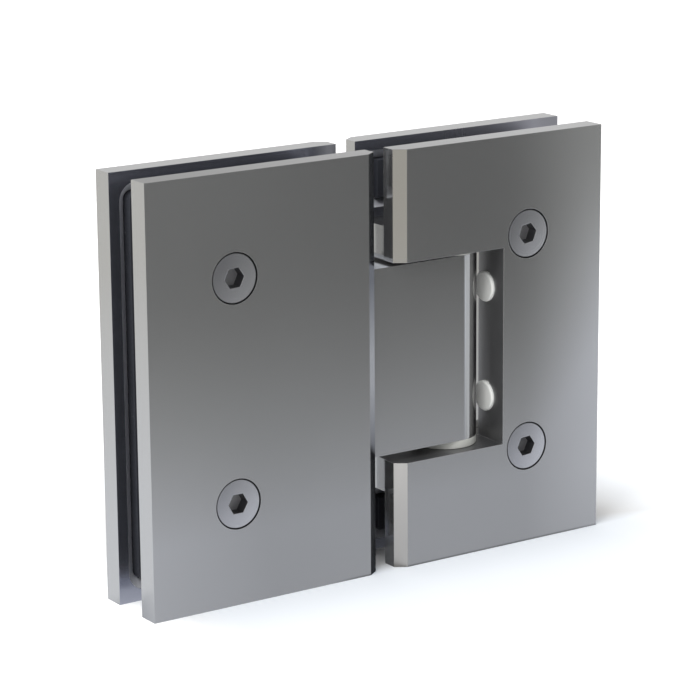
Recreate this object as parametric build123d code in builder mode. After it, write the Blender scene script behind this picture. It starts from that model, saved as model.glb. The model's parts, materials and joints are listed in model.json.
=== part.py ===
# Glass-to-glass shower hinge: two clamp leaves that turn on one upright pin.
# Millimetres. The origin is under the middle of the hinge, on the plane it stands on.
# +X runs from the fixed leaf to the door leaf, the front faces look towards -Y, +Z is up.
import os
from math import cos, radians, sin

from build123d import *

os.makedirs("parts", exist_ok=True)

# Plates and glass
plate_height = 90.0
plate_thick = 5.0
glass_thick = 8.0
gasket_proud = 0.5  # each gasket stands this far out of its plate
leaf_gap = 4.7  # between the two leaves' hinge ends
bevel_long = 2.4  # bevel at a plate's hinge end, along the face
bevel_deep = 1.7  # the same bevel, into the thickness
fixed_grip = 13.85  # from the fixed plates' outer edge to the block
door_grip = 13.1  # from the door plates' outer edge to the yoke
fixed_rear_short = 1.0  # the fixed rear plate stops this far before the front one
door_rear_shift = 0.95  # the door rear plate hangs this far towards the fixed leaf

# Gasket seats in the plates' inner faces
seat_margin = 2.3
seat_depth = 2.0
seat_bevel = 1.9  # the sloped rim, out of the depth
seat_corner = 4.0
glass_clear = 2.0  # between the glass cut-out and the metal in it
gasket_clear = 0.1

# Knuckle, block and yoke
block_reach = 41.4  # from the fixed plates' hinge end to the block's far end
pivot_reach = 23.4  # from the fixed plates' hinge end to the pin
knuckle_height = 40.45
knuckle_thick = 14.0
nose_gap = 1.8  # between the knuckle's nose and the notch wall
lug_height = 7.2
yoke_setback = 0.3  # the yoke stands this far behind the plate's edges
yoke_corner = 5.0
clamp_clear = 0.3  # between the rear plates and the metal in the glass cut-outs

# Clamp screws
screw_radius = 3.0
screw_head_radius = 5.15
screw_head_thick = 3.0
screw_head_clear = 0.2  # ring between a head and its counterbore
screw_sink = 0.15  # the heads lie this far under the face
screw_inset = 5.3  # from the yoke's top to the upper screw
screw_land = 6.5  # metal round a clamp screw, from its axis
screw_bite = 3.8  # depth of the tapped holes in the rear plates
socket_width = 4.0
socket_depth = 2.6
socket_turns = {"fixed_upper": 4.0, "fixed_lower": 0.0, "door_upper": 9.0, "door_lower": 5.0}

# Pin and bushes
pin_radius = 3.5
pin_sink = 0.5  # the pin's ends lie this far inside the lugs
cam_flat = 2.7  # from the pin's axis to its flats
cam_margin = 0.6  # the flats run this far past the plungers
bush_wall = 1.0
bush_length = 9.0
flange_thicks = {"upper": 0.85, "lower": 1.75}
flange_run = 0.05  # between a bush's flange and its lug
running_fit = 0.04
press_fit = 0.02
thread_fit = 0.04

# Sprung plungers
plunger_radius = 3.0
plunger_length = 8.0
plunger_spacing = 12.0
plunger_fit = 0.08
plunger_lift = 0.05  # between a lifted plunger and the pin's full radius
spring_radius = 2.25
spring_wire = 0.9
spring_length = 12.0
spring_turns = 4
spring_sides = 10  # straight runs to each turn
plug_length = 6.0
plug_socket = 3.0
plug_socket_depth = 3.0

# Nylon buffers on the notch wall
buffer_radius = 3.3
buffer_proud = 0.6
buffer_edge = 0.3
buffer_spacing = 24.2
buffer_forward = 3.0  # from the middle of the thickness towards the front
buffer_seat = 2.5  # depth of the holes they are pressed into

# Places along X
nose_radius = knuckle_thick / 2
door_reach = nose_radius + nose_gap + 2 * screw_land + door_grip
fixed_outer = -(fixed_grip + block_reach + pivot_reach + door_reach) / 2
block_end = fixed_outer + fixed_grip
fixed_screw = block_end + screw_land
fixed_end = block_end + block_reach
door_end = fixed_end + leaf_gap
pivot_x = fixed_end + pivot_reach
wall_x = pivot_x + nose_radius + nose_gap
door_screw = wall_x + screw_land
yoke_end = door_screw + screw_land
door_outer = yoke_end + door_grip

# Places along Y and Z
slot_half = glass_thick / 2 + gasket_proud
face_y = slot_half + plate_thick
block_deep = 2 * slot_half - clamp_clear
block_back = slot_half - clamp_clear
mid_z = plate_height / 2
knuckle_half = knuckle_height / 2
notch_top = mid_z + knuckle_half + flange_thicks["upper"] + flange_run
notch_bottom = mid_z - knuckle_half - flange_thicks["lower"] - flange_run
notch_half = (notch_top - notch_bottom) / 2
notch_mid = (notch_top + notch_bottom) / 2
yoke_half = notch_half + lug_height
screw_rise = yoke_half - screw_inset
plunger_rise = plunger_spacing / 2
fixed_cut_half = screw_rise + screw_land + glass_clear
door_cut_half = yoke_half + glass_clear

# Bores and the pieces along the plungers
bush_radius = pin_radius + running_fit + bush_wall
plunger_bore = plunger_radius + plunger_fit
plunger_nose = pivot_x - pin_radius - plunger_lift
plunger_back = plunger_nose - plunger_length
spring_start = plunger_back - spring_length
plug_radius = plunger_bore - thread_fit

sides = {"front": -1, "rear": 1}
ends = {"upper": 1, "lower": -1}
screw_xs = {"fixed": fixed_screw, "door": door_screw}


def slot_plane(side):
    """The inner face of a plate, its normal running into the plate."""
    return Plane(origin=(0, side * slot_half, mid_z), x_dir=(1, 0, 0), z_dir=(0, side, 0))


def shift_on(side, z):
    """A height measured from the middle, as it counts on a slot plane: the rear ones run downwards."""
    return -side * (z - mid_z)


def plate_section(outer_x, end_x, side):
    """A plate seen from above, with the bevel at its hinge end."""
    inward = 1 if outer_x > end_x else -1
    with BuildSketch(Plane.XY) as section:
        with BuildLine():
            Polyline(
                (outer_x, side * slot_half),
                (outer_x, side * face_y),
                (end_x + inward * bevel_long, side * face_y),
                (end_x, side * (face_y - bevel_deep)),
                (end_x, side * slot_half),
                close=True,
            )
        make_face()
    return section.sketch


def grip_outline(side, outer_x, end_x, cut_x, cut_mid, cut_half, inset):
    """The C-shaped area of a plate that grips the glass, drawn in by an inset."""
    inward = 1 if outer_x > end_x else -1
    margin = seat_margin + inset
    outer = outer_x - inward * margin
    end = end_x + inward * margin
    cut = cut_x + inward * (glass_clear + inset)
    top = mid_z - margin
    cut_shift = shift_on(side, cut_mid)
    cut_top = cut_shift + cut_half + inset
    cut_bottom = cut_shift - cut_half - inset
    with BuildSketch(slot_plane(side)) as outline:
        with BuildLine():
            Polyline(
                (outer, -top),
                (end, -top),
                (end, cut_bottom),
                (cut, cut_bottom),
                (cut, cut_top),
                (end, cut_top),
                (end, top),
                (outer, top),
                close=True,
            )
        make_face()
        corner = min(seat_corner - inset, (top - cut_top) / 3, (top + cut_bottom) / 3)
        fillet(outline.vertices().group_by(Axis.X)[-1 if inward > 0 else 0], corner)
    return outline.sketch


def fixed_grip_outline(side, inset=0.0):
    """The glass area of a fixed plate."""
    return grip_outline(side, fixed_outer, fixed_end, block_end, mid_z, fixed_cut_half, inset)


def door_grip_outline(side, inset=0.0):
    """The glass area of a door plate."""
    return grip_outline(side, door_outer, door_end, yoke_end, notch_mid, door_cut_half, inset)


def notch_outline(side, depth_x):
    """The cut-out for the knuckle, from beyond the door leaf's hinge end."""
    with BuildSketch(slot_plane(side)) as notch:
        with Locations(((fixed_end + depth_x) / 2, shift_on(side, notch_mid))):
            Rectangle(depth_x - fixed_end, 2 * notch_half)
    return notch.sketch


def screw_mouths(leaf, y):
    """The places of a leaf's two clamp screws at depth y, looking out of the front."""
    x = screw_xs[leaf]
    rises = (screw_rise, -screw_rise)
    return [Plane(origin=(x, y, mid_z + rise), x_dir=(1, 0, 0), z_dir=(0, -1, 0)) for rise in rises]


# Fixed leaf: front plate, block in the glass cut-out and knuckle, forged in one piece
with BuildPart() as fixed_body:
    extrude(plate_section(fixed_outer, fixed_end, sides["front"]), amount=plate_height)
    with BuildSketch(slot_plane(sides["front"])):
        with Locations(((block_end + fixed_end) / 2, 0)):
            Rectangle(block_reach, knuckle_height)
        with Locations((fixed_screw, screw_rise), (fixed_screw, -screw_rise)):
            Circle(screw_land)
    extrude(amount=-block_deep)
    with BuildSketch(Plane.XY.offset(mid_z - knuckle_half)):
        with BuildLine():
            Polyline(
                (pivot_x, nose_radius),
                (fixed_end + clamp_clear, nose_radius),
                (fixed_end + clamp_clear, block_back),
                (fixed_end, block_back),
                (fixed_end, -nose_radius),
                (pivot_x, -nose_radius),
            )
            ThreePointArc((pivot_x, -nose_radius), (pivot_x + nose_radius, 0), (pivot_x, nose_radius))
        make_face()
    extrude(amount=knuckle_height)
    with Locations(Plane(origin=(pivot_x, 0, mid_z + knuckle_half))):
        Hole(radius=bush_radius + press_fit, depth=knuckle_height)
    for rise in (plunger_rise, -plunger_rise):
        with Locations(Plane(origin=(block_end, 0, mid_z + rise), z_dir=(-1, 0, 0))):
            Hole(radius=plunger_bore, depth=pivot_x - block_end)
    with Locations(*screw_mouths("fixed", -face_y)):
        CounterBoreHole(
            radius=screw_radius + thread_fit,
            counter_bore_radius=screw_head_radius + screw_head_clear,
            counter_bore_depth=screw_sink + screw_head_thick,
            depth=2 * face_y - plate_thick,
        )
    extrude(fixed_grip_outline(sides["front"], seat_depth), amount=seat_depth, mode=Mode.SUBTRACT)
    chamfer(fixed_body.edges(Select.LAST).group_by(Axis.Y)[-1], seat_bevel)
fixed_body.part.label = "fixed_body"
export_step(fixed_body.part, "parts/fixed_body.step")

# Fixed leaf: plain rear plate with blind tapped holes
with BuildPart() as fixed_rear_plate:
    extrude(plate_section(fixed_outer, fixed_end - fixed_rear_short, sides["rear"]), amount=plate_height)
    extrude(fixed_grip_outline(sides["rear"], seat_depth), amount=seat_depth, mode=Mode.SUBTRACT)
    chamfer(fixed_rear_plate.edges(Select.LAST).group_by(Axis.Y)[0], seat_bevel)
    with Locations(*screw_mouths("fixed", slot_half)):
        Hole(radius=screw_radius + thread_fit, depth=screw_bite)
fixed_rear_plate.part.label = "fixed_rear_plate"
export_step(fixed_rear_plate.part, "parts/fixed_rear_plate.step")

# Door leaf: front plate and the yoke that carries the pin, forged in one piece
with BuildPart() as door_body:
    extrude(plate_section(door_outer, door_end, sides["front"]), amount=plate_height)
    with BuildSketch(slot_plane(sides["front"])) as yoke:
        yoke_start = door_end + yoke_setback
        with Locations(((yoke_start + yoke_end) / 2, shift_on(sides["front"], notch_mid))):
            Rectangle(yoke_end - yoke_start, 2 * yoke_half)
        fillet(yoke.vertices().group_by(Axis.X)[-1], yoke_corner)
    extrude(amount=-block_deep)
    extrude(notch_outline(sides["front"], wall_x), amount=plate_thick, mode=Mode.SUBTRACT)
    extrude(
        notch_outline(sides["front"], wall_x + yoke_setback),
        amount=-block_deep,
        mode=Mode.SUBTRACT,
    )
    with Locations(Plane(origin=(pivot_x, 0, notch_mid + yoke_half))):
        Hole(radius=pin_radius + press_fit, depth=2 * yoke_half)
    for rise in (buffer_spacing / 2, -buffer_spacing / 2):
        with Locations(Plane(origin=(wall_x, -buffer_forward, notch_mid + rise), z_dir=(-1, 0, 0))):
            Hole(radius=buffer_radius + press_fit, depth=buffer_seat)
    with Locations(*screw_mouths("door", -face_y)):
        CounterBoreHole(
            radius=screw_radius + thread_fit,
            counter_bore_radius=screw_head_radius + screw_head_clear,
            counter_bore_depth=screw_sink + screw_head_thick,
            depth=2 * face_y - plate_thick,
        )
    extrude(door_grip_outline(sides["front"], seat_depth), amount=seat_depth, mode=Mode.SUBTRACT)
    chamfer(door_body.edges(Select.LAST).group_by(Axis.Y)[-1], seat_bevel)
door_body.part.label = "door_body"
export_step(door_body.part, "parts/door_body.step")

# Door leaf: notched rear plate with blind tapped holes
with BuildPart() as door_rear_plate:
    rear_ends = (door_outer - door_rear_shift, door_end - door_rear_shift)
    extrude(plate_section(*rear_ends, sides["rear"]), amount=plate_height)
    extrude(notch_outline(sides["rear"], wall_x), amount=plate_thick, mode=Mode.SUBTRACT)
    extrude(door_grip_outline(sides["rear"], seat_depth), amount=seat_depth, mode=Mode.SUBTRACT)
    chamfer(door_rear_plate.edges(Select.LAST).group_by(Axis.Y)[0], seat_bevel)
    with Locations(*screw_mouths("door", slot_half)):
        Hole(radius=screw_radius + thread_fit, depth=screw_bite)
door_rear_plate.part.label = "door_rear_plate"
export_step(door_rear_plate.part, "parts/door_rear_plate.step")

# Gaskets: one on the floor of each seat, standing proud of the plate to meet the glass
grip_outlines = {"fixed": fixed_grip_outline, "door": door_grip_outline}
for leaf, grip in grip_outlines.items():
    for place, side in sides.items():
        name = f"{leaf}_{place}_gasket"
        with BuildPart() as gasket:
            extrude(grip(side, seat_depth + gasket_clear), amount=seat_depth)
            extrude(grip(side, seat_depth + gasket_clear), amount=-gasket_proud)
        gasket.part.label = name
        export_step(gasket.part, f"parts/{name}.step")

# Clamp screws: flat heads with hex sockets, from the front plates into the rear plates
screw_top = -face_y + screw_sink
screw_end = slot_half + screw_bite - clamp_clear
for leaf, x in screw_xs.items():
    for end, sign in ends.items():
        name = f"{leaf}_{end}_screw"
        z = mid_z + sign * screw_rise
        with BuildPart() as screw:
            with BuildSketch(Plane(origin=(x, screw_top, z), z_dir=(0, 1, 0))):
                Circle(screw_head_radius)
            extrude(amount=screw_head_thick)
            with BuildSketch(Plane(origin=(x, screw_top + screw_head_thick, z), z_dir=(0, 1, 0))):
                Circle(screw_radius)
            extrude(amount=screw_end - screw_top - screw_head_thick)
            with BuildSketch(Plane(origin=(x, screw_top, z), x_dir=(1, 0, 0), z_dir=(0, -1, 0))):
                RegularPolygon(socket_width / 2, 6, major_radius=False, rotation=socket_turns[f"{leaf}_{end}"])
            extrude(amount=-socket_depth, mode=Mode.SUBTRACT)
        screw.part.label = name
        export_step(screw.part, f"parts/{name}.step")

# Pin: pressed into the lugs, so it turns with the yoke, with four cam flats at the plungers
with BuildPart() as pivot_pin:
    with Locations((pivot_x, 0, notch_mid)):
        Cylinder(radius=pin_radius, height=2 * (yoke_half - pin_sink))
    cam_half = plunger_rise + plunger_radius + cam_margin
    with BuildSketch(Plane(origin=(pivot_x, 0, mid_z - cam_half))):
        Circle(2 * pin_radius)
        Rectangle(2 * cam_flat, 2 * cam_flat, mode=Mode.SUBTRACT)
    extrude(amount=2 * cam_half, mode=Mode.SUBTRACT)
pivot_pin.part.label = "pivot_pin"
export_step(pivot_pin.part, "parts/pivot_pin.step")

# Pieces that come in pairs, above and below the middle
for end, sign in ends.items():
    # Flanged bush: its sleeve lines the knuckle, its flange is the washer under the lug
    with BuildPart() as bush:
        seat = Plane(origin=(pivot_x, 0, mid_z + sign * knuckle_half), z_dir=(0, 0, sign))
        with BuildSketch(seat):
            Circle(nose_radius)
        extrude(amount=flange_thicks[end])
        with BuildSketch(seat):
            Circle(bush_radius)
        extrude(amount=-bush_length)
        with Locations(seat.offset(flange_thicks[end])):
            Hole(radius=pin_radius + running_fit, depth=flange_thicks[end] + bush_length)
    bush.part.label = f"{end}_bush"
    export_step(bush.part, f"parts/{end}_bush.step")

    # Plunger: pressed on the pin's flats by the spring behind it
    plunger_z = mid_z + sign * plunger_rise
    with BuildPart() as plunger:
        with BuildSketch(Plane(origin=(plunger_back, 0, plunger_z), z_dir=(1, 0, 0))):
            Circle(plunger_radius)
        extrude(amount=plunger_length)
    plunger.part.label = f"{end}_plunger"
    export_step(plunger.part, f"parts/{end}_plunger.step")

    # Spring: square wire with ground ends, between the plug and the plunger
    coil_points = []
    for step in range(spring_turns * spring_sides + 1):
        turn = radians(360 * step / spring_sides)
        along = spring_start + spring_length * step / (spring_turns * spring_sides)
        coil_points.append((along, spring_radius * cos(turn), plunger_z + spring_radius * sin(turn)))
    with BuildPart() as spring:
        with BuildLine() as coil:
            Polyline(*coil_points)
        with BuildSketch(Plane(origin=coil.line @ 0, z_dir=coil.line % 0)):
            Rectangle(spring_wire, spring_wire)
        sweep(path=coil.line, transition=Transition.RIGHT)
        with Locations((spring_start + spring_length / 2, 0, plunger_z)):
            Box(spring_length, 2 * plunger_bore, 2 * plunger_bore, mode=Mode.INTERSECT)
    spring.part.label = f"{end}_spring"
    export_step(spring.part, f"parts/{end}_spring.step")

    # Spring plug: a socket set screw that sets the spring's force
    with BuildPart() as plug:
        with BuildSketch(Plane(origin=(spring_start, 0, plunger_z), z_dir=(-1, 0, 0))):
            Circle(plug_radius)
        extrude(amount=plug_length)
        with BuildSketch(Plane(origin=(spring_start - plug_length, 0, plunger_z), z_dir=(1, 0, 0))):
            RegularPolygon(plug_socket / 2, 6, major_radius=False)
        extrude(amount=plug_socket_depth, mode=Mode.SUBTRACT)
    plug.part.label = f"{end}_spring_plug"
    export_step(plug.part, f"parts/{end}_spring_plug.step")

    # Buffer: a nylon button pressed into the notch wall
    buffer_z = notch_mid + sign * buffer_spacing / 2
    with BuildPart() as buffer:
        with BuildSketch(Plane(origin=(wall_x + buffer_seat, -buffer_forward, buffer_z), z_dir=(-1, 0, 0))):
            Circle(buffer_radius)
        extrude(amount=buffer_seat + buffer_proud)
        chamfer(buffer.edges().group_by(Axis.X)[0], buffer_edge)
    buffer.part.label = f"{end}_buffer"
    export_step(buffer.part, f"parts/{end}_buffer.step")
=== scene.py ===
import json
import math

import bpy
from mathutils import Matrix, Vector

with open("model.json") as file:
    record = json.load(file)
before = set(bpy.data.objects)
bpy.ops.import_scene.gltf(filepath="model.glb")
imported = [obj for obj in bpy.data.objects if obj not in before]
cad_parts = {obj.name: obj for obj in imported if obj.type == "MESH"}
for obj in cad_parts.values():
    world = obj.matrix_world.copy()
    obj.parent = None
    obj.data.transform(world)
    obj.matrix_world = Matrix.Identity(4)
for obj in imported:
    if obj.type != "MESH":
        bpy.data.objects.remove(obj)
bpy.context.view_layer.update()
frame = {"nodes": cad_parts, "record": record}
nodes = frame["nodes"]
print("frame loaded:", len(nodes), "nodes")

mm = 0.001
scene = bpy.context.scene
scene.view_settings.view_transform = "Standard"

cameraSettings = {
    "place": (-337.8, -494.45, 197.34),  # mm, in the hinge's own frame
    "heading": (0.54434, 0.80250, -0.2443),
    "rollDeg": 0.419,
    "lens": 151.05,
    "sensor": 36.0,
    "clipStart": 0.01,  # m
}


def addCamera(s):
    data = bpy.data.cameras.new("camera")
    data.lens = s["lens"]
    data.sensor_width = s["sensor"]
    data.clip_start = s["clipStart"]
    camera = bpy.data.objects.new("camera", data)
    forward = Vector(s["heading"]).normalized()
    level = forward.cross(Vector((0, 0, 1))).normalized()
    right = Matrix.Rotation(math.radians(s["rollDeg"]), 3, forward) @ level
    up = right.cross(forward)
    axes = Matrix((right, up, -forward)).transposed()
    camera.matrix_world = Matrix.Translation(Vector(s["place"]) * mm) @ axes.to_4x4()
    scene.collection.objects.link(camera)
    scene.camera = camera


addCamera(cameraSettings)
print("camera set")


# small helpers for node trees
def put(tree, kind, values=None, **settings):
    node = tree.nodes.new(kind)
    for key, value in settings.items():
        setattr(node, key, value)
    for key, value in (values or {}).items():
        node.inputs[key].default_value = value
    return node


# links a socket to the target, or sets the target to a fixed value
def join(tree, source, target):
    if isinstance(source, bpy.types.NodeSocket):
        tree.links.new(source, target)
    else:
        target.default_value = source


# a Map Range node takes its value in socket 0 and its ends in 1 to 4
def ramp(tree, source, low, high, toLow=0.0, toHigh=1.0, smooth=False):
    node = put(tree, "ShaderNodeMapRange")
    if smooth:
        node.interpolation_type = "SMOOTHSTEP"
    for slot, value in enumerate((source, low, high, toLow, toHigh)):
        join(tree, value, node.inputs[slot])
    return node.outputs[0]


def sums(tree, operation, a, b):
    node = put(tree, "ShaderNodeMath", operation=operation)
    join(tree, a, node.inputs[0])
    join(tree, b, node.inputs[1])
    return node.outputs[0]


def vectors(tree, operation, *sources):
    node = put(tree, "ShaderNodeVectorMath", operation=operation)
    for slot, source in enumerate(sources):
        join(tree, source, node.inputs[slot])
    return node.outputs["Value" if operation in ("LENGTH", "DOT_PRODUCT") else "Vector"]


# a Mix node takes its mask in socket 0, two values in 2 and 3, two colours in 6 and 7
def blendValues(tree, mask, first, second):
    node = put(tree, "ShaderNodeMix")
    join(tree, mask, node.inputs[0])
    join(tree, first, node.inputs[2])
    join(tree, second, node.inputs[3])
    return node.outputs[0]


def blendColors(tree, mask, first, second):
    node = put(tree, "ShaderNodeMix", data_type="RGBA")
    join(tree, mask, node.inputs[0])
    join(tree, first, node.inputs[6])
    join(tree, second, node.inputs[7])
    return node.outputs[2]


def noise(tree, place, scale, settings):
    node = put(tree, "ShaderNodeTexNoise", settings)
    join(tree, place, node.inputs["Vector"])
    join(tree, scale, node.inputs["Scale"])
    return node.outputs["Fac"]


def axesOf(tree, source):
    node = put(tree, "ShaderNodeSeparateXYZ")
    join(tree, source, node.inputs[0])
    return node.outputs


def newGroup(name, inputs, outputs):
    tree = bpy.data.node_groups.new(name, "ShaderNodeTree")
    for label, kind, value in inputs:
        socket = tree.interface.new_socket(label, in_out="INPUT", socket_type=kind)
        socket.default_value = value
    for label, kind in outputs:
        tree.interface.new_socket(label, in_out="OUTPUT", socket_type=kind)
    return tree, tree.nodes.new("NodeGroupInput"), tree.nodes.new("NodeGroupOutput")


def useGroup(tree, group, values=None):
    return put(tree, "ShaderNodeGroup", values, node_tree=group)


# grain drawn out along the stretch, with a slow haze under it
grainSettings = {
    "scale": 900.0, "noise": {"Detail": 4.0, "Roughness": 0.62},
    "hazeScale": 45.0, "hazeNoise": {"Detail": 2.0, "Roughness": 0.5},
}


def makeGrainGroup(s):
    tree, given, result = newGroup(
        "drawnGrain",
        [("Stretch", "NodeSocketVector", (1, 1, 1)), ("Scale", "NodeSocketFloat", s["scale"]),
         ("Haze Scale", "NodeSocketFloat", s["hazeScale"])],
        [("Grain", "NodeSocketFloat"), ("Haze", "NodeSocketFloat")])
    place = put(tree, "ShaderNodeTexCoord").outputs["Object"]
    drawn = vectors(tree, "MULTIPLY", place, given.outputs["Stretch"])
    join(tree, noise(tree, drawn, given.outputs["Scale"], s["noise"]), result.inputs["Grain"])
    join(tree, noise(tree, place, given.outputs["Haze Scale"], s["hazeNoise"]), result.inputs["Haze"])
    return tree


# hairline rubs and single specks of dust
markSettings = {
    "rubStretch": (1, 1, 0.03), "rubScale": 1500.0, "rubLevel": 0.68, "rubFull": 0.8,
    "rubNoise": {"Detail": 2.0, "Roughness": 0.5},
    "dustScale": 450.0, "dustSize": 0.11, "dustFrom": (0.72, 0.8),  # only some cells hold a speck
}


def makeMarksGroup(s):
    tree, given, result = newGroup(
        "rubsAndDust",
        [("Rub Stretch", "NodeSocketVector", s["rubStretch"]),
         ("Rub Scale", "NodeSocketFloat", s["rubScale"]), ("Rub Level", "NodeSocketFloat", s["rubLevel"]),
         ("Dust Scale", "NodeSocketFloat", s["dustScale"]), ("Dust Size", "NodeSocketFloat", s["dustSize"])],
        [("Rubs", "NodeSocketFloat"), ("Dust", "NodeSocketFloat")])
    place = put(tree, "ShaderNodeTexCoord").outputs["Object"]
    drawn = vectors(tree, "MULTIPLY", place, given.outputs["Rub Stretch"])
    lines = noise(tree, drawn, given.outputs["Rub Scale"], s["rubNoise"])
    cells = put(tree, "ShaderNodeTexVoronoi")
    join(tree, place, cells.inputs["Vector"])
    join(tree, given.outputs["Dust Scale"], cells.inputs["Scale"])
    near = ramp(tree, cells.outputs["Distance"], given.outputs["Dust Size"], 0.0)
    pick = put(tree, "ShaderNodeSeparateColor")
    join(tree, cells.outputs["Color"], pick.inputs[0])
    few = ramp(tree, pick.outputs[0], *s["dustFrom"])
    join(tree, ramp(tree, lines, given.outputs["Rub Level"], s["rubFull"]), result.inputs["Rubs"])
    join(tree, sums(tree, "MULTIPLY", near, few), result.inputs["Dust"])
    return tree


# painted highlight: a brighter line where the plating turns round an edge, broken up by noise
edgeSettings = {
    "width": 0.0004, "samples": 4, "turn": (0.995, 0.85),  # width in m
    "breakup": 300.0, "noise": {"Detail": 2.0}, "gaps": (0.35, 0.65), "gapLevels": (0.35, 1.0),
}


def makeEdgeGroup(s):
    tree, given, result = newGroup(
        "edgeHighlight",
        [("Width", "NodeSocketFloat", s["width"]), ("Breakup", "NodeSocketFloat", s["breakup"])],
        [("Edge", "NodeSocketFloat")])
    soft = put(tree, "ShaderNodeBevel", samples=s["samples"])
    join(tree, given.outputs["Width"], soft.inputs["Radius"])
    surface = put(tree, "ShaderNodeNewGeometry")
    turned = vectors(tree, "DOT_PRODUCT", soft.outputs[0], surface.outputs["Normal"])
    edge = ramp(tree, turned, *s["turn"])
    place = put(tree, "ShaderNodeTexCoord").outputs["Object"]
    gaps = noise(tree, place, given.outputs["Breakup"], s["noise"])
    broken = ramp(tree, gaps, *s["gaps"], *s["gapLevels"])
    join(tree, sums(tree, "MULTIPLY", edge, broken), result.inputs["Edge"])
    return tree


grainGroup = makeGrainGroup(grainSettings)
marksGroup = makeMarksGroup(markSettings)
edgeGroup = makeEdgeGroup(edgeSettings)
print("shared node groups made")

noiseSpan = (0.3, 0.7)  # where most of a noise's values lie
edgeShare = 0.5  # how far the painted edge highlight takes its own colour
grainDepth = 0.00005  # m, of the bump under a grain


def newMaterial(name):
    material = bpy.data.materials.new(name)
    material.use_nodes = True
    tree = material.node_tree
    return material, tree, tree.nodes["Principled BSDF"]


def addBump(tree, shader, height, strength, distance):
    bump = put(tree, "ShaderNodeBump", {"Strength": strength, "Distance": distance})
    join(tree, height, bump.inputs["Height"])
    join(tree, bump.outputs["Normal"], shader.inputs["Normal"])
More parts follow.
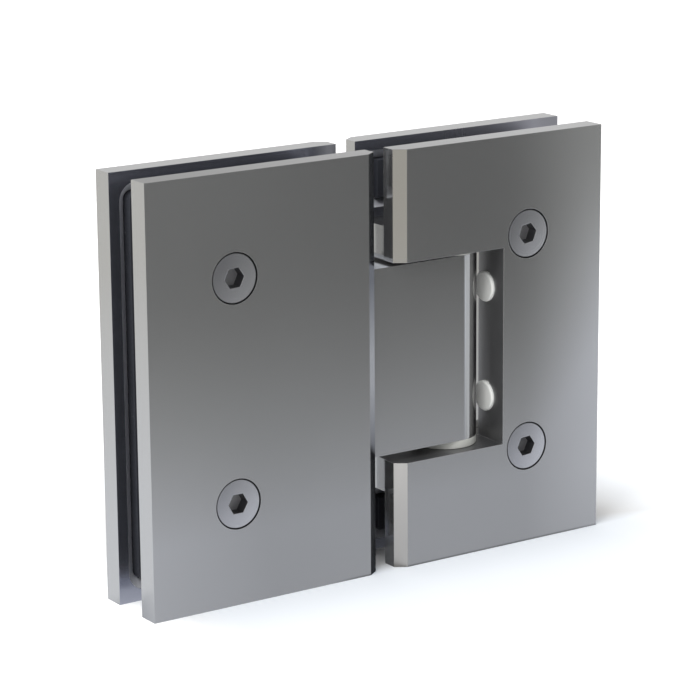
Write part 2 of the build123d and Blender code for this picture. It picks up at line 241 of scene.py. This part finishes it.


# gunmetal plating and its finishes; a zone, in mm along an axis, is finished in another way, and its tone is
# painted light or shade
gunmetalFinishes = {
    "satinGunmetal": {
        "low": (0.485, 0.487, 0.488, 1), "high": (0.520, 0.523, 0.525, 1), "edge": (0.62, 0.62, 0.62, 1),
        "rough": (0.09, 0.11), "stretch": (1, 1, 0.12), "scale": 1400.0, "haze": 30.0,
        "rubScale": 900.0, "rubLevel": 0.74, "dustScale": 160.0, "dustSize": 0.03,
        "markColor": (0.60, 0.60, 0.61, 1), "markShare": 0.10, "bump": 0.01, "metal": 0.90,
    },
    "polishedGunmetal": {
        "low": (0.40, 0.40, 0.385, 1), "high": (0.455, 0.455, 0.44, 1), "edge": (0.60, 0.60, 0.60, 1),
        "rough": (0.06, 0.12), "stretch": (1, 1, 0.02), "scale": 1800.0, "haze": 50.0,
        "rubScale": 1100.0, "rubLevel": 0.70, "dustScale": 200.0, "dustSize": 0.04,
        "markColor": (0.56, 0.56, 0.56, 1), "markShare": 0.2, "bump": 0.03, "metal": 0.90,
        # painted reflection: the nose is dark beyond 26 mm, as if mirroring the dark notch wall
        "zone": {"axis": "X", "from": (24.8, 26.0), "color": (0.13, 0.13, 0.135, 1),
                 "rough": 0.35, "metal": 0.95},
    },
    "milledGunmetal": {
        "low": (0.20, 0.20, 0.21, 1), "high": (0.28, 0.28, 0.29, 1), "edge": (0.45, 0.45, 0.45, 1),
        "rough": (0.34, 0.46), "stretch": (0.05, 1, 1), "scale": 1500.0, "haze": 90.0,
        "rubScale": 900.0, "rubLevel": 0.66, "dustScale": 300.0, "dustSize": 0.06,
        "markColor": (0.45, 0.45, 0.45, 1), "markShare": 0.35, "bump": 0.10, "metal": 0.85,
        # painted highlight: the level faces' left end, short of 2.5 mm, is pale and duller, as if lit from
        # above
        "zone": {"axis": "X", "from": (3.3, 2.5), "color": (0.72, 0.75, 0.80, 1),
                 "rough": 0.45, "metal": 0.30},
    },
    "blackenedGunmetal": {
        "low": (0.42, 0.43, 0.49, 1), "high": (0.48, 0.49, 0.55, 1), "edge": (0.60, 0.61, 0.66, 1),
        "rough": (0.20, 0.24), "stretch": (1, 1, 0.05), "scale": 1500.0, "haze": 80.0,
        "rubScale": 800.0, "rubLevel": 0.72, "dustScale": 330.0, "dustSize": 0.10,
        "markColor": (0.72, 0.73, 0.78, 1), "markShare": 0.5, "bump": 0.01, "metal": 0.95,
        # painted light: the slot's inner faces grow lighter towards the right end, full at 50 mm
        "zone": {"axis": "X", "from": (0.0, 50.0), "color": (0.53, 0.53, 0.575, 1),
                 "rough": 0.31, "metal": 0.96},
    },
    "brushedGunmetal": {
        "low": (0.28, 0.28, 0.29, 1), "high": (0.37, 0.37, 0.375, 1), "edge": (0.50, 0.50, 0.50, 1),
        "rough": (0.32, 0.44), "stretch": (1, 1, 0.03), "scale": 1600.0, "haze": 90.0,
        "rubScale": 900.0, "rubLevel": 0.66, "dustScale": 300.0, "dustSize": 0.06,
        "markColor": (0.50, 0.50, 0.49, 1), "markShare": 0.35, "bump": 0.06, "metal": 0.88,
        # the notch wall's rear half is polished, and a little lighter as a painted reflection
        "zone": {"axis": "Y", "from": (-0.40, -0.15), "color": (0.40, 0.395, 0.38, 1),
                 "rough": 0.06, "metal": 0.95},
    },
    # ground finish; its bright cream tone below 44 mm and its darker, glossier upper half above 46 mm are
    # painted reflection
    "groundGunmetalPaintedLight": {
        "low": (0.66, 0.64, 0.605, 1), "high": (0.70, 0.68, 0.645, 1), "edge": (0.74, 0.73, 0.70, 1),
        "rough": (0.32, 0.40), "stretch": (1, 1, 0.05), "scale": 1500.0, "haze": 60.0,
        "rubScale": 900.0, "rubLevel": 0.72, "dustScale": 200.0, "dustSize": 0.04,
        "markColor": (0.76, 0.75, 0.73, 1), "markShare": 0.15, "bump": 0.04, "metal": 0.90,
        "zone": {"axis": "Z", "from": (44.0, 46.0), "color": (0.378, 0.369, 0.348, 1),
                 "rough": 0.12, "metal": 0.92},
    },
    "shadedGunmetal": {
        "low": (0.475, 0.478, 0.485, 1), "high": (0.510, 0.513, 0.520, 1), "edge": (0.60, 0.60, 0.60, 1),
        "rough": (0.09, 0.11), "stretch": (1, 1, 0.12), "scale": 1400.0, "haze": 30.0,
        "rubScale": 900.0, "rubLevel": 0.74, "dustScale": 160.0, "dustSize": 0.03,
        "markColor": (0.60, 0.60, 0.61, 1), "markShare": 0.10, "bump": 0.01, "metal": 0.92,
        # painted shade: the fixed plate's bevel darkens towards both ends, from 3 to 19 mm off its middle
        "zone": {"axis": "Z", "middle": 44.4, "from": (3.0, 19.0), "color": (0.135, 0.142, 0.163, 1),
                 "rough": 0.16, "metal": 0.95},
    },
    "crestGunmetal": {
        "low": (0.470, 0.472, 0.475, 1), "high": (0.505, 0.508, 0.512, 1), "edge": (0.60, 0.60, 0.60, 1),
        "rough": (0.10, 0.14), "stretch": (0.12, 1, 1), "scale": 1400.0, "haze": 30.0,
        "rubScale": 900.0, "rubLevel": 0.74, "dustScale": 160.0, "dustSize": 0.03,
        "markColor": (0.60, 0.60, 0.61, 1), "markShare": 0.10, "bump": 0.01, "metal": 0.90,
        # painted shade: the front plates' top faces darken towards the left end, from 40 mm to -50 mm
        "zone": {"axis": "X", "from": (40.0, -50.0), "color": (0.20, 0.20, 0.195, 1),
                 "rough": 0.16, "metal": 0.95},
    },
    "dullRim": {
        "low": (0.55, 0.56, 0.60, 1), "high": (0.68, 0.69, 0.73, 1), "edge": (0.82, 0.82, 0.84, 1),
        "rough": (0.36, 0.50), "stretch": (1, 1, 0.08), "scale": 1500.0, "haze": 120.0,
        "rubScale": 800.0, "rubLevel": 0.66, "dustScale": 420.0, "dustSize": 0.12,
        "markColor": (0.80, 0.81, 0.84, 1), "markShare": 0.5, "bump": 0.06, "metal": 0.15,
    },
}


def zoneMask(tree, zone):
    place = put(tree, "ShaderNodeTexCoord").outputs["Object"]
    along = axesOf(tree, place)[zone["axis"]]
    if "middle" in zone:
        along = sums(tree, "ABSOLUTE", sums(tree, "SUBTRACT", along, zone["middle"] * mm), 0.0)
    return ramp(tree, along, *(edge * mm for edge in zone["from"]))


def makeGunmetal(name, s):
    material, tree, shader = newMaterial(name)
    grain = useGroup(tree, grainGroup, {
        "Stretch": s["stretch"], "Scale": s["scale"], "Haze Scale": s["haze"]})
    marks = useGroup(tree, marksGroup, {
        "Rub Scale": s["rubScale"], "Rub Level": s["rubLevel"],
        "Dust Scale": s["dustScale"], "Dust Size": s["dustSize"]})
    edge = useGroup(tree, edgeGroup)
    plating = blendColors(tree, grain.outputs["Haze"], s["low"], s["high"])
    wearAndEdgeHighlight = sums(tree, "MAXIMUM", marks.outputs["Rubs"], marks.outputs["Dust"])
    marked = blendColors(tree, sums(tree, "MULTIPLY", wearAndEdgeHighlight, s["markShare"]), plating, s["markColor"])
    # painted highlight along the edges
    color = blendColors(tree, sums(tree, "MULTIPLY", edge.outputs["Edge"], edgeShare), marked, s["edge"])
    rough = ramp(tree, grain.outputs["Grain"], *noiseSpan, *s["rough"])
    metal = s["metal"]
    if "zone" in s:
        zone = s["zone"]
        mask = zoneMask(tree, zone)
        color = blendColors(tree, mask, color, zone["color"])
        rough = blendValues(tree, mask, rough, zone["rough"])
        metal = blendValues(tree, mask, metal, zone["metal"])
    join(tree, color, shader.inputs["Base Color"])
    join(tree, rough, shader.inputs["Roughness"])
    join(tree, metal, shader.inputs["Metallic"])
    addBump(tree, shader, grain.outputs["Grain"], s["bump"], grainDepth)
    return material


# screw heads: turned faces with fine rings, a painted sheen, and a painted shade line at the head's edge, in
# the gap round it
screwFinishes = {
    "screwGunmetal": {
        "low": (0.42, 0.422, 0.447, 1), "high": (0.46, 0.465, 0.488, 1), "edge": (0.70, 0.70, 0.71, 1),
        "rough": (0.14, 0.22), "rings": 34.0, "bump": 0.015, "dome": -3.4, "metal": 0.90,
        "sheen": (-0.45, 0.45), "sheenRise": 0.55, "sheenColor": (0.66, 0.665, 0.69, 1),
        "rim": (0.483, 0.489), "rimColor": (0.08, 0.08, 0.085, 1),
    },
    # painted shade in the sockets, on the heads' sides and on the bore walls round the heads
    "recessShade": {
        "low": (0.10, 0.10, 0.11, 1), "high": (0.18, 0.18, 0.19, 1), "edge": (0.50, 0.50, 0.52, 1),
        "rough": (0.26, 0.40), "rings": 20.0, "bump": 0.03, "dome": 0.0, "metal": 0.90,
    },
    "socketFloor": {
        "low": (0.20, 0.20, 0.21, 1), "high": (0.34, 0.34, 0.35, 1), "edge": (0.50, 0.50, 0.52, 1),
        "rough": (0.34, 0.48), "rings": 20.0, "bump": 0.03, "dome": 0.0, "metal": 0.25,
    },
}
screwShared = {
    "middle": (0.5, 0.5, 0.5), "across": (1, 0, 1),  # in the screw's own box, with its axis along Y
    "grain": {"Scale": 700.0, "Haze Scale": 160.0}, "ringDetail": 3.0, "edgeShare": 0.7,
    "strength": 1.0, "edgeWidth": 0.00025, "depth": 0.0001,  # width and depth in m
}


def makeScrewMetal(name, s, shared):
    material, tree, shader = newMaterial(name)
    place = put(tree, "ShaderNodeTexCoord").outputs["Generated"]
    centred = vectors(tree, "SUBTRACT", place, shared["middle"])
    radius = vectors(tree, "LENGTH", vectors(tree, "MULTIPLY", centred, shared["across"]))
    spin = put(tree, "ShaderNodeTexNoise", {"Scale": s["rings"], "Detail": shared["ringDetail"]},
               noise_dimensions="1D")
    join(tree, radius, spin.inputs["W"])
    grain = useGroup(tree, grainGroup, shared["grain"])
    edge = useGroup(tree, edgeGroup, {"Width": shared["edgeWidth"]})
    tone = blendColors(tree, ramp(tree, grain.outputs["Haze"], *noiseSpan), s["low"], s["high"])
    axes = axesOf(tree, centred)
    if "sheen" in s:  # painted sheen: lighter towards the right and the foot
        rise = sums(tree, "MULTIPLY", axes["Z"], s["sheenRise"])
        slope = sums(tree, "SUBTRACT", axes["X"], rise)
        tone = blendColors(tree, ramp(tree, slope, *s["sheen"]), tone, s["sheenColor"])
    # painted highlight along the edges
    wearAndEdgeHighlight = sums(tree, "MULTIPLY", edge.outputs["Edge"], shared["edgeShare"])
    color = blendColors(tree, wearAndEdgeHighlight, tone, s["edge"])
    # painted shade: a dark ring at the head's edge, where the gap round it lies
    if "rim" in s:
        color = blendColors(tree, ramp(tree, radius, *s["rim"]), color, s["rimColor"])
    join(tree, color, shader.inputs["Base Color"])
    join(tree, ramp(tree, spin.outputs["Fac"], *noiseSpan, *s["rough"]), shader.inputs["Roughness"])
    shader.inputs["Metallic"].default_value = s["metal"]
    squared = sums(tree, "MULTIPLY", axes["Z"], axes["Z"])
    dome = sums(tree, "MULTIPLY", squared, s["dome"])
    height = sums(tree, "ADD", sums(tree, "MULTIPLY", spin.outputs["Fac"], s["bump"]), dome)
    addBump(tree, shader, height, shared["strength"], shared["depth"])
    return material


# bright steel of the pin, the spring plugs and the springs
steelFinishes = {
    "groundSteel": {
        "low": (0.52, 0.52, 0.53, 1), "high": (0.66, 0.66, 0.66, 1), "rough": (0.16, 0.30),
        "stretch": (1, 1, 9), "scale": 500.0, "bump": 0.06,
    },
    "drawnWire": {
        "low": (0.36, 0.36, 0.37, 1), "high": (0.54, 0.54, 0.55, 1), "rough": (0.24, 0.40),
        "stretch": (6, 1, 1), "scale": 700.0, "bump": 0.08,
    },
}
steelShared = {
    "haze": 120.0, "edge": (0.75, 0.75, 0.74, 1), "metal": 1.0,
    "edgeWidth": 0.0002,  # m
}


def makeSteel(name, s, shared):
    material, tree, shader = newMaterial(name)
    grain = useGroup(tree, grainGroup, {
        "Stretch": s["stretch"], "Scale": s["scale"], "Haze Scale": shared["haze"]})
    edge = useGroup(tree, edgeGroup, {"Width": shared["edgeWidth"]})
    tone = blendColors(tree, grain.outputs["Haze"], s["low"], s["high"])
    # painted highlight along the edges
    wearAndEdgeHighlight = sums(tree, "MULTIPLY", edge.outputs["Edge"], edgeShare)
    join(tree, blendColors(tree, wearAndEdgeHighlight, tone, shared["edge"]), shader.inputs["Base Color"])
    join(tree, ramp(tree, grain.outputs["Grain"], *noiseSpan, *s["rough"]), shader.inputs["Roughness"])
    shader.inputs["Metallic"].default_value = shared["metal"]
    addBump(tree, shader, grain.outputs["Grain"], s["bump"], grainDepth)
    return material


# moulded plastics: milky nylon, a darker copy of it for the bushes as painted shade, black acetal
plasticFinishes = {
    "milkyNylon": {
        "low": (0.86, 0.87, 0.84, 1), "high": (0.925, 0.935, 0.905, 1), "rub": (0.94, 0.95, 0.93, 1),
        "rough": (0.34, 0.48), "scale": 900.0, "haze": 260.0, "bump": 0.10,
    },
    "shadedNylon": {
        "low": (0.56, 0.565, 0.53, 1), "high": (0.64, 0.645, 0.61, 1), "rub": (0.74, 0.74, 0.72, 1),
        "rough": (0.40, 0.54), "scale": 900.0, "haze": 260.0, "bump": 0.10,
    },
    "blackAcetal": {
        "low": (0.018, 0.018, 0.019, 1), "high": (0.034, 0.034, 0.036, 1), "rub": (0.10, 0.10, 0.10, 1),
        "rough": (0.30, 0.42), "scale": 900.0, "haze": 200.0, "bump": 0.08,
    },
}
plasticShared = {"marks": {"Rub Scale": 1200.0, "Rub Level": 0.68}, "rubShare": 0.5}


def makePlastic(name, s, shared):
    material, tree, shader = newMaterial(name)
    grain = useGroup(tree, grainGroup, {"Scale": s["scale"], "Haze Scale": s["haze"]})
    marks = useGroup(tree, marksGroup, shared["marks"])
    tone = blendColors(tree, grain.outputs["Haze"], s["low"], s["high"])
    rubbed = sums(tree, "MULTIPLY", marks.outputs["Rubs"], shared["rubShare"])
    join(tree, blendColors(tree, rubbed, tone, s["rub"]), shader.inputs["Base Color"])
    join(tree, ramp(tree, grain.outputs["Grain"], *noiseSpan, *s["rough"]), shader.inputs["Roughness"])
    addBump(tree, shader, grain.outputs["Grain"], s["bump"], grainDepth)
    return material


# gasket rubber: matt, with a fine pressed texture and a little dust
rubberFinish = {
    "low": (0.026, 0.028, 0.036, 1), "high": (0.046, 0.049, 0.060, 1), "dust": (0.26, 0.26, 0.28, 1),
    "rough": (0.58, 0.78), "scale": 1600.0, "haze": 90.0, "bump": 0.35, "depth": 0.0001,  # m
    "marks": {"Dust Scale": 420.0, "Dust Size": 0.10}, "dustShare": 0.6,
}


def makeRubber(s):
    material, tree, shader = newMaterial("mattRubber")
    grain = useGroup(tree, grainGroup, {"Scale": s["scale"], "Haze Scale": s["haze"]})
    marks = useGroup(tree, marksGroup, s["marks"])
    tone = blendColors(tree, grain.outputs["Haze"], s["low"], s["high"])
    dusty = sums(tree, "MULTIPLY", marks.outputs["Dust"], s["dustShare"])
    join(tree, blendColors(tree, dusty, tone, s["dust"]), shader.inputs["Base Color"])
    join(tree, ramp(tree, grain.outputs["Grain"], *noiseSpan, *s["rough"]), shader.inputs["Roughness"])
    addBump(tree, shader, grain.outputs["Grain"], s["bump"], s["depth"])
    return material


finishes = {name: makeGunmetal(name, s) for name, s in gunmetalFinishes.items()}
finishes.update({name: makeScrewMetal(name, s, screwShared) for name, s in screwFinishes.items()})
finishes.update({name: makeSteel(name, s, steelShared) for name, s in steelFinishes.items()})
finishes.update({name: makePlastic(name, s, plasticShared) for name, s in plasticFinishes.items()})
finishes["mattRubber"] = makeRubber(rubberFinish)
print("finishes made:", len(finishes))

finishOfSlot = {  # the leaves and the screws are dressed face by face instead
    "pin_steel": "groundSteel",
    "spring_steel": "drawnWire",
    "white_nylon": "milkyNylon",
    "plunger_acetal": "blackAcetal",
    "gasket_rubber": "mattRubber",
}
# the bushes take the darker nylon, as painted shade
finishOfNode = {"upper_bush": "shadedNylon", "lower_bush": "shadedNylon"}
edgeRounding = {  # mm, radius of the rounded edges in each material slot
    "leaf_metal": 0.16,
    "screw_metal": 0.07,
    "pin_steel": 0.12,
    "spring_steel": 0.08,
    "white_nylon": 0.12,
    "plunger_acetal": 0.12,
    "gasket_rubber": 0.12,
}


def meshBox(mesh):
    return [Vector([pick(v.co[i] for v in mesh.vertices) for i in range(3)]) for pick in (min, max)]


screwNames = [part["node"] for part in frame["record"]["subparts"] if part["material_slot"] == "screw_metal"]
screwMiddles = [sum(meshBox(nodes[name].data), Vector()) / 2 / mm for name in screwNames]
leafFinishes = list(gunmetalFinishes) + ["recessShade"]
leafZones = {  # mm, where the leaves' finishes change
    "slotHalf": 4.5,
    "slotSlack": 0.1,
    "seatReach": 2.3,
    "hingeLeft": 1.0,
    "hingeRight": 33.0,
    "hingeHalf": 21.8,
    "hingeFront": 9.45,
    "middle": 44.55,
    "bevelRight": 6.0,
    "crestLow": 85.0,
    "boreReach": 5.6,
}
faceTilts = {  # parts of a face's normal that tell which way it looks
    "square": 0.9,
    "along": 0.1,
    "inward": 0.2,
    "flatSeat": 0.95,
    "flatFront": 0.99,
    "bevelSide": 0.4,
    "bevelFront": 0.6,
}


def dressLeaf(mesh, s, tilts):
    for name in leafFinishes:
        mesh.materials.append(finishes[name])
    for face in mesh.polygons:
        centre, normal = face.center / mm, face.normal
        inSlot = s["slotHalf"] - s["slotSlack"] < abs(centre.y) < s["slotHalf"] + s["seatReach"]
        facesIn = normal.y * centre.y < -tilts["inward"] * abs(centre.y)
        offMiddle = abs(centre.z - s["middle"])
        inHinge = s["hingeLeft"] < centre.x < s["hingeRight"] and offMiddle < s["hingeHalf"]
        bevelled = abs(normal.x) > tilts["bevelSide"] and normal.y < -tilts["bevelFront"]
        inBore = abs(normal.y) < tilts["along"] and any(
            math.hypot(centre.x - screw.x, centre.z - screw.z) < s["boreReach"] for screw in screwMiddles)
        if inSlot and facesIn:
            finish = "dullRim" if abs(normal.y) < tilts["flatSeat"] else "blackenedGunmetal"
        # painted shade on the bore walls round the screw heads
        elif inBore:
            finish = "recessShade"
        elif inHinge and normal.x < -tilts["square"]:
            finish = "brushedGunmetal"
        elif inHinge and abs(normal.z) > tilts["square"]:
            finish = "milledGunmetal"
        elif inHinge and abs(normal.y) < tilts["flatFront"] and abs(centre.y) < s["hingeFront"]:
            finish = "polishedGunmetal"
        elif normal.z > tilts["square"] and centre.y < -s["slotHalf"] and centre.z > s["crestLow"]:
            finish = "crestGunmetal"
        elif bevelled and normal.x < 0 < centre.x < s["bevelRight"]:
            finish = "groundGunmetalPaintedLight"
        elif bevelled and centre.x < 0 < normal.x:
            finish = "shadedGunmetal"
        else:
            finish = "satinGunmetal"
        face.material_index = leafFinishes.index(finish)


# painted shade: the sockets and the heads' sides are darker than the faces, the socket floors a duller, less
# dark grey
screwZones = {  # mm, from the screw's axis and from its face
    "socketReach": 2.4,
    "socketTop": 0.05,
    "socketFloor": 2.7,
    "sideReach": 4.9,
}


def dressScrew(mesh, s, tilts):
    names = list(screwFinishes)
    for name in names:
        mesh.materials.append(finishes[name])
    low, high = meshBox(mesh)
    middle = (low + high) / 2
    for face in mesh.polygons:
        away = math.hypot(face.center.x - middle.x, face.center.z - middle.z) / mm
        inside = (face.center.y - low.y) / mm
        inSocket = away < s["socketReach"] and s["socketTop"] < inside < s["socketFloor"]
        onSide = away > s["sideReach"] and abs(face.normal.y) < tilts["along"]
        if inSocket and face.normal.y < -tilts["square"]:
            finish = "socketFloor"
        elif inSocket or onSide:
            finish = "recessShade"
        else:
            finish = "screwGunmetal"
        face.material_index = names.index(finish)


roundingSettings = {
    "weld": 0.002,  # mm
    "flatDeg": 0.4,
    "sharpDeg": 30,
    "segments": 2,
    "weight": 100,
}


def roundEdges(piece, radius, s):
    mesh = piece.data
    if "custom_normal" in mesh.attributes:
        mesh.attributes.remove(mesh.attributes["custom_normal"])
    mesh.polygons.foreach_set("use_smooth", [True] * len(mesh.polygons))
    mesh.edges.foreach_set("use_edge_sharp", [False] * len(mesh.edges))
    weld = piece.modifiers.new("weld", "WELD")
    weld.merge_threshold = s["weld"] * mm
    flat = piece.modifiers.new("flat", "DECIMATE")
    flat.decimate_type = "DISSOLVE"
    flat.angle_limit = math.radians(s["flatDeg"])
    flat.delimit = {"MATERIAL"}
    bevel = piece.modifiers.new("edges", "BEVEL")
    bevel.width = radius * mm
    bevel.segments = s["segments"]
    bevel.limit_method = "ANGLE"
    bevel.angle_limit = math.radians(s["sharpDeg"])
    bevel.use_clamp_overlap = True
    even = piece.modifiers.new("even", "WEIGHTED_NORMAL")
    even.weight = s["weight"]


for part in frame["record"]["subparts"]:
    piece = nodes[part["node"]]
    slot = part["material_slot"]
    piece.data.materials.clear()
    if slot == "leaf_metal":
        dressLeaf(piece.data, leafZones, faceTilts)
    elif slot == "screw_metal":
        dressScrew(piece.data, screwZones, faceTilts)
    else:
        piece.data.materials.append(finishes[finishOfNode.get(part["node"], finishOfSlot[slot])])
    roundEdges(piece, edgeRounding[slot], roundingSettings)
print("nodes dressed")

# pale paper floor; in the metal it glows as a painted reflection, fading into a dim room in front, with a
# bright card at the right
floorSettings = {  # lengths in m
    "size": 6.0, "rough": 0.9,
    "paper": (0.80, 0.80, 0.80, 1), "fibre": (0.788, 0.788, 0.788, 1),
    "fibreScale": 60.0, "fibreNoise": {"Detail": 3.0},
    "fill": (1, 1, 1, 1), "fillReach": (0.066, 0.100), "fillLeft": (-0.042, -0.056), "fillLevel": 0.45,
    "frontFill": (0.62, 0.79, 1.0, 1), "frontReach": (0.0045, 0.010), "frontLevel": 0.21,
    "nearTint": (0.965, 1.0, 1.08, 1), "farTint": (0.99, 1.0, 0.985, 1),
    "fade": (0.32, 0.05), "fadePower": 2.35,
    "near": 0.538, "nearCard": (0.0, 0.045, 0.24, 0.40), "nearLeft": 0.172,
    "far": 0.124, "farCard": 0.25, "farLeft": 0.064,
    "cardSlant": 0.76, "cardFrom": (0.030, 0.066), "cardShift": 0.125,
    "leftSlant": 0.60, "leftFrom": (-0.034, -0.068), "dimFrom": (0.05, -0.06),
    "openNear": (0.97, 0.99, 1.03, 1), "openFar": (0.80, 0.79, 0.75, 1), "openReach": (0.10, 0.36),
    "openSlant": 0.40, "openFrom": (-0.0585, -0.066), "openBehind": (0.0, 0.012),
    "underWide": (-0.014, -0.006, 0.050, 0.066), "underDeep": (0.0108, 0.0094), "underShare": 0.85,
}


# painted reflection: the tone that metal sees in front of the hinge, bright near it and on the card, dim
# farther off
def roomTone(tree, s, across, depth):
    card = ramp(tree, across(s["cardSlant"]), *s["cardFrom"])
    left = ramp(tree, across(s["leftSlant"]), *s["leftFrom"])
    dim = ramp(tree, across(s["leftSlant"]), *s["dimFrom"])
    reach = sums(tree, "SUBTRACT", depth, sums(tree, "MULTIPLY", card, s["cardShift"]))
    fade = sums(tree, "POWER", ramp(tree, reach, *s["fade"]), s["fadePower"])

    def level(plain, onCard, side, onSide):
        lifted = sums(tree, "ADD", sums(tree, "MULTIPLY", card, onCard), plain)
        return sums(tree, "ADD", lifted, sums(tree, "MULTIPLY", side, onSide))

    far = level(s["far"], s["farCard"], dim, s["farLeft"])
    near = level(s["near"], ramp(tree, depth, *s["nearCard"]), left, s["nearLeft"])
    gain = sums(tree, "ADD", far, sums(tree, "MULTIPLY", fade, sums(tree, "SUBTRACT", near, far)))
    toned = put(tree, "ShaderNodeVectorMath", operation="SCALE")
    join(tree, blendColors(tree, fade, s["farTint"], s["nearTint"]), toned.inputs[0])
    join(tree, gain, toned.inputs["Scale"])
    return toned.outputs[0]


# all that metal sees of the floor, as painted light: that room, open light at the left and behind, and a
# painted shadow under the hinge
def seenInMetal(tree, s, axes, depth, reached):
    def across(slant):
        return sums(tree, "SUBTRACT", axes["X"], sums(tree, "MULTIPLY", depth, slant))

    openLeft = ramp(tree, across(s["openSlant"]), *s["openFrom"], smooth=True)
    openBack = ramp(tree, axes["Y"], *s["openBehind"], smooth=True)
    openMask = sums(tree, "MAXIMUM", openLeft, openBack)
    openTone = blendColors(tree, ramp(tree, reached, *s["openReach"]), s["openNear"], s["openFar"])
    seen = put(tree, "ShaderNodeEmission")
    join(tree, blendColors(tree, openMask, roomTone(tree, s, across, depth), openTone), seen.inputs["Color"])
    # painted shadow: the glow dims under the hinge, between its leaves
    startX, fullX, leaveX, endX = s["underWide"]
    wide = sums(tree, "MULTIPLY", ramp(tree, axes["X"], startX, fullX),
                ramp(tree, axes["X"], endX, leaveX))
    deep = ramp(tree, sums(tree, "ABSOLUTE", depth, 0.0), *s["underDeep"])
    under = sums(tree, "MULTIPLY", sums(tree, "MULTIPLY", wide, deep), s["underShare"])
    join(tree, sums(tree, "SUBTRACT", 1.0, under), seen.inputs["Strength"])
    return seen.outputs[0]


# lifts the paper to white for the camera only, less near the hinge, where its shadow lies
def cameraFill(tree, s, axes, depth, reached, rays):
    clear = sums(tree, "MAXIMUM", ramp(tree, reached, *s["fillReach"]),
                 ramp(tree, axes["X"], *s["fillLeft"]))
    inFront = ramp(tree, depth, *s["frontReach"])
    lift = sums(tree, "MAXIMUM", sums(tree, "MULTIPLY", clear, s["fillLevel"]),
                sums(tree, "MULTIPLY", inFront, s["frontLevel"]))
    fill = put(tree, "ShaderNodeEmission")
    join(tree, blendColors(tree, clear, s["frontFill"], s["fill"]), fill.inputs["Color"])
    join(tree, sums(tree, "MULTIPLY", rays.outputs["Is Camera Ray"], lift), fill.inputs["Strength"])
    return fill.outputs[0]


def addFloor(s):
    bpy.ops.mesh.primitive_plane_add(size=s["size"])
    floor = bpy.context.object
    floor.name = "floor"
    material, tree, shader = newMaterial("palePaper")
    material.cycles.emission_sampling = "NONE"  # only metal and the camera see its glow
    shader.inputs["Roughness"].default_value = s["rough"]
    place = put(tree, "ShaderNodeNewGeometry").outputs["Position"]
    fibres = noise(tree, place, s["fibreScale"], s["fibreNoise"])
    join(tree, blendColors(tree, fibres, s["fibre"], s["paper"]), shader.inputs["Base Color"])
    axes = axesOf(tree, place)
    depth = sums(tree, "MULTIPLY", axes["Y"], -1.0)  # in front of the hinge
    reached = vectors(tree, "LENGTH", place)
    rays = put(tree, "ShaderNodeLightPath")
    lit = put(tree, "ShaderNodeAddShader")
    join(tree, shader.outputs[0], lit.inputs[0])
    join(tree, cameraFill(tree, s, axes, depth, reached, rays), lit.inputs[1])
    choose = put(tree, "ShaderNodeMixShader")
    join(tree, rays.outputs["Is Glossy Ray"], choose.inputs[0])
    join(tree, lit.outputs[0], choose.inputs[1])
    join(tree, seenInMetal(tree, s, axes, depth, reached), choose.inputs[2])
    join(tree, choose.outputs[0], tree.nodes["Material Output"].inputs["Surface"])
    floor.data.materials.append(material)


# white studio all round; metal sees it a little dimmer in front
worldSettings = {
    "light": 0.62,
    "white": (1, 1, 1, 1),
    "seen": (0.45, 0.71),  # by metal, in front and behind
    "seenFrom": (-0.8, 0.3),
    "cameraSeen": 1.0,
}


def addWorld(s):
    world = bpy.data.worlds.new("studio")
    world.use_nodes = True
    scene.world = world
    tree = world.node_tree
    background = tree.nodes["Background"]
    background.inputs["Color"].default_value = s["white"]
    place = put(tree, "ShaderNodeTexCoord").outputs["Generated"]
    seen = ramp(tree, axesOf(tree, place)["Y"], *s["seenFrom"], *s["seen"], smooth=True)
    rays = put(tree, "ShaderNodeLightPath")
    glossy = blendValues(tree, rays.outputs["Is Glossy Ray"], s["light"], seen)
    strength = blendValues(tree, rays.outputs["Is Camera Ray"], glossy, s["cameraSeen"])
    join(tree, strength, background.inputs["Strength"])


lampAim = (0, 0, 0.04)  # m
lamps = {  # place and size in m, power in W; only the glint lamp shows in the metal
    "keyLamp": {"place": (-0.75, -0.45, 0.95), "size": (0.8, 0.8), "power": 7.2, "glints": False},
    "topLamp": {"place": (-0.20, 0.08, 1.20), "size": (0.3, 0.3), "power": 4.0, "glints": False},
    "rearLamp": {"place": (-0.25, 0.75, 0.80), "size": (0.8, 0.6), "power": 2.5, "glints": False},
    "glintLamp": {"place": (-0.70, -0.42, 0.90), "size": (0.25, 0.25), "power": 1.6, "glints": True},
}


def addLamp(name, s):
    data = bpy.data.lights.new(name, "AREA")
    data.shape = "RECTANGLE"
    data.size, data.size_y = s["size"]
    data.energy = s["power"]
    lamp = bpy.data.objects.new(name, data)
    lamp.location = s["place"]
    aim = Vector(lampAim) - Vector(s["place"])
    lamp.rotation_euler = aim.to_track_quat("-Z", "Y").to_euler()
    lamp.visible_glossy = s["glints"]
    scene.collection.objects.link(lamp)


addFloor(floorSettings)
addWorld(worldSettings)
for name, s in lamps.items():
    addLamp(name, s)
print("studio lit")
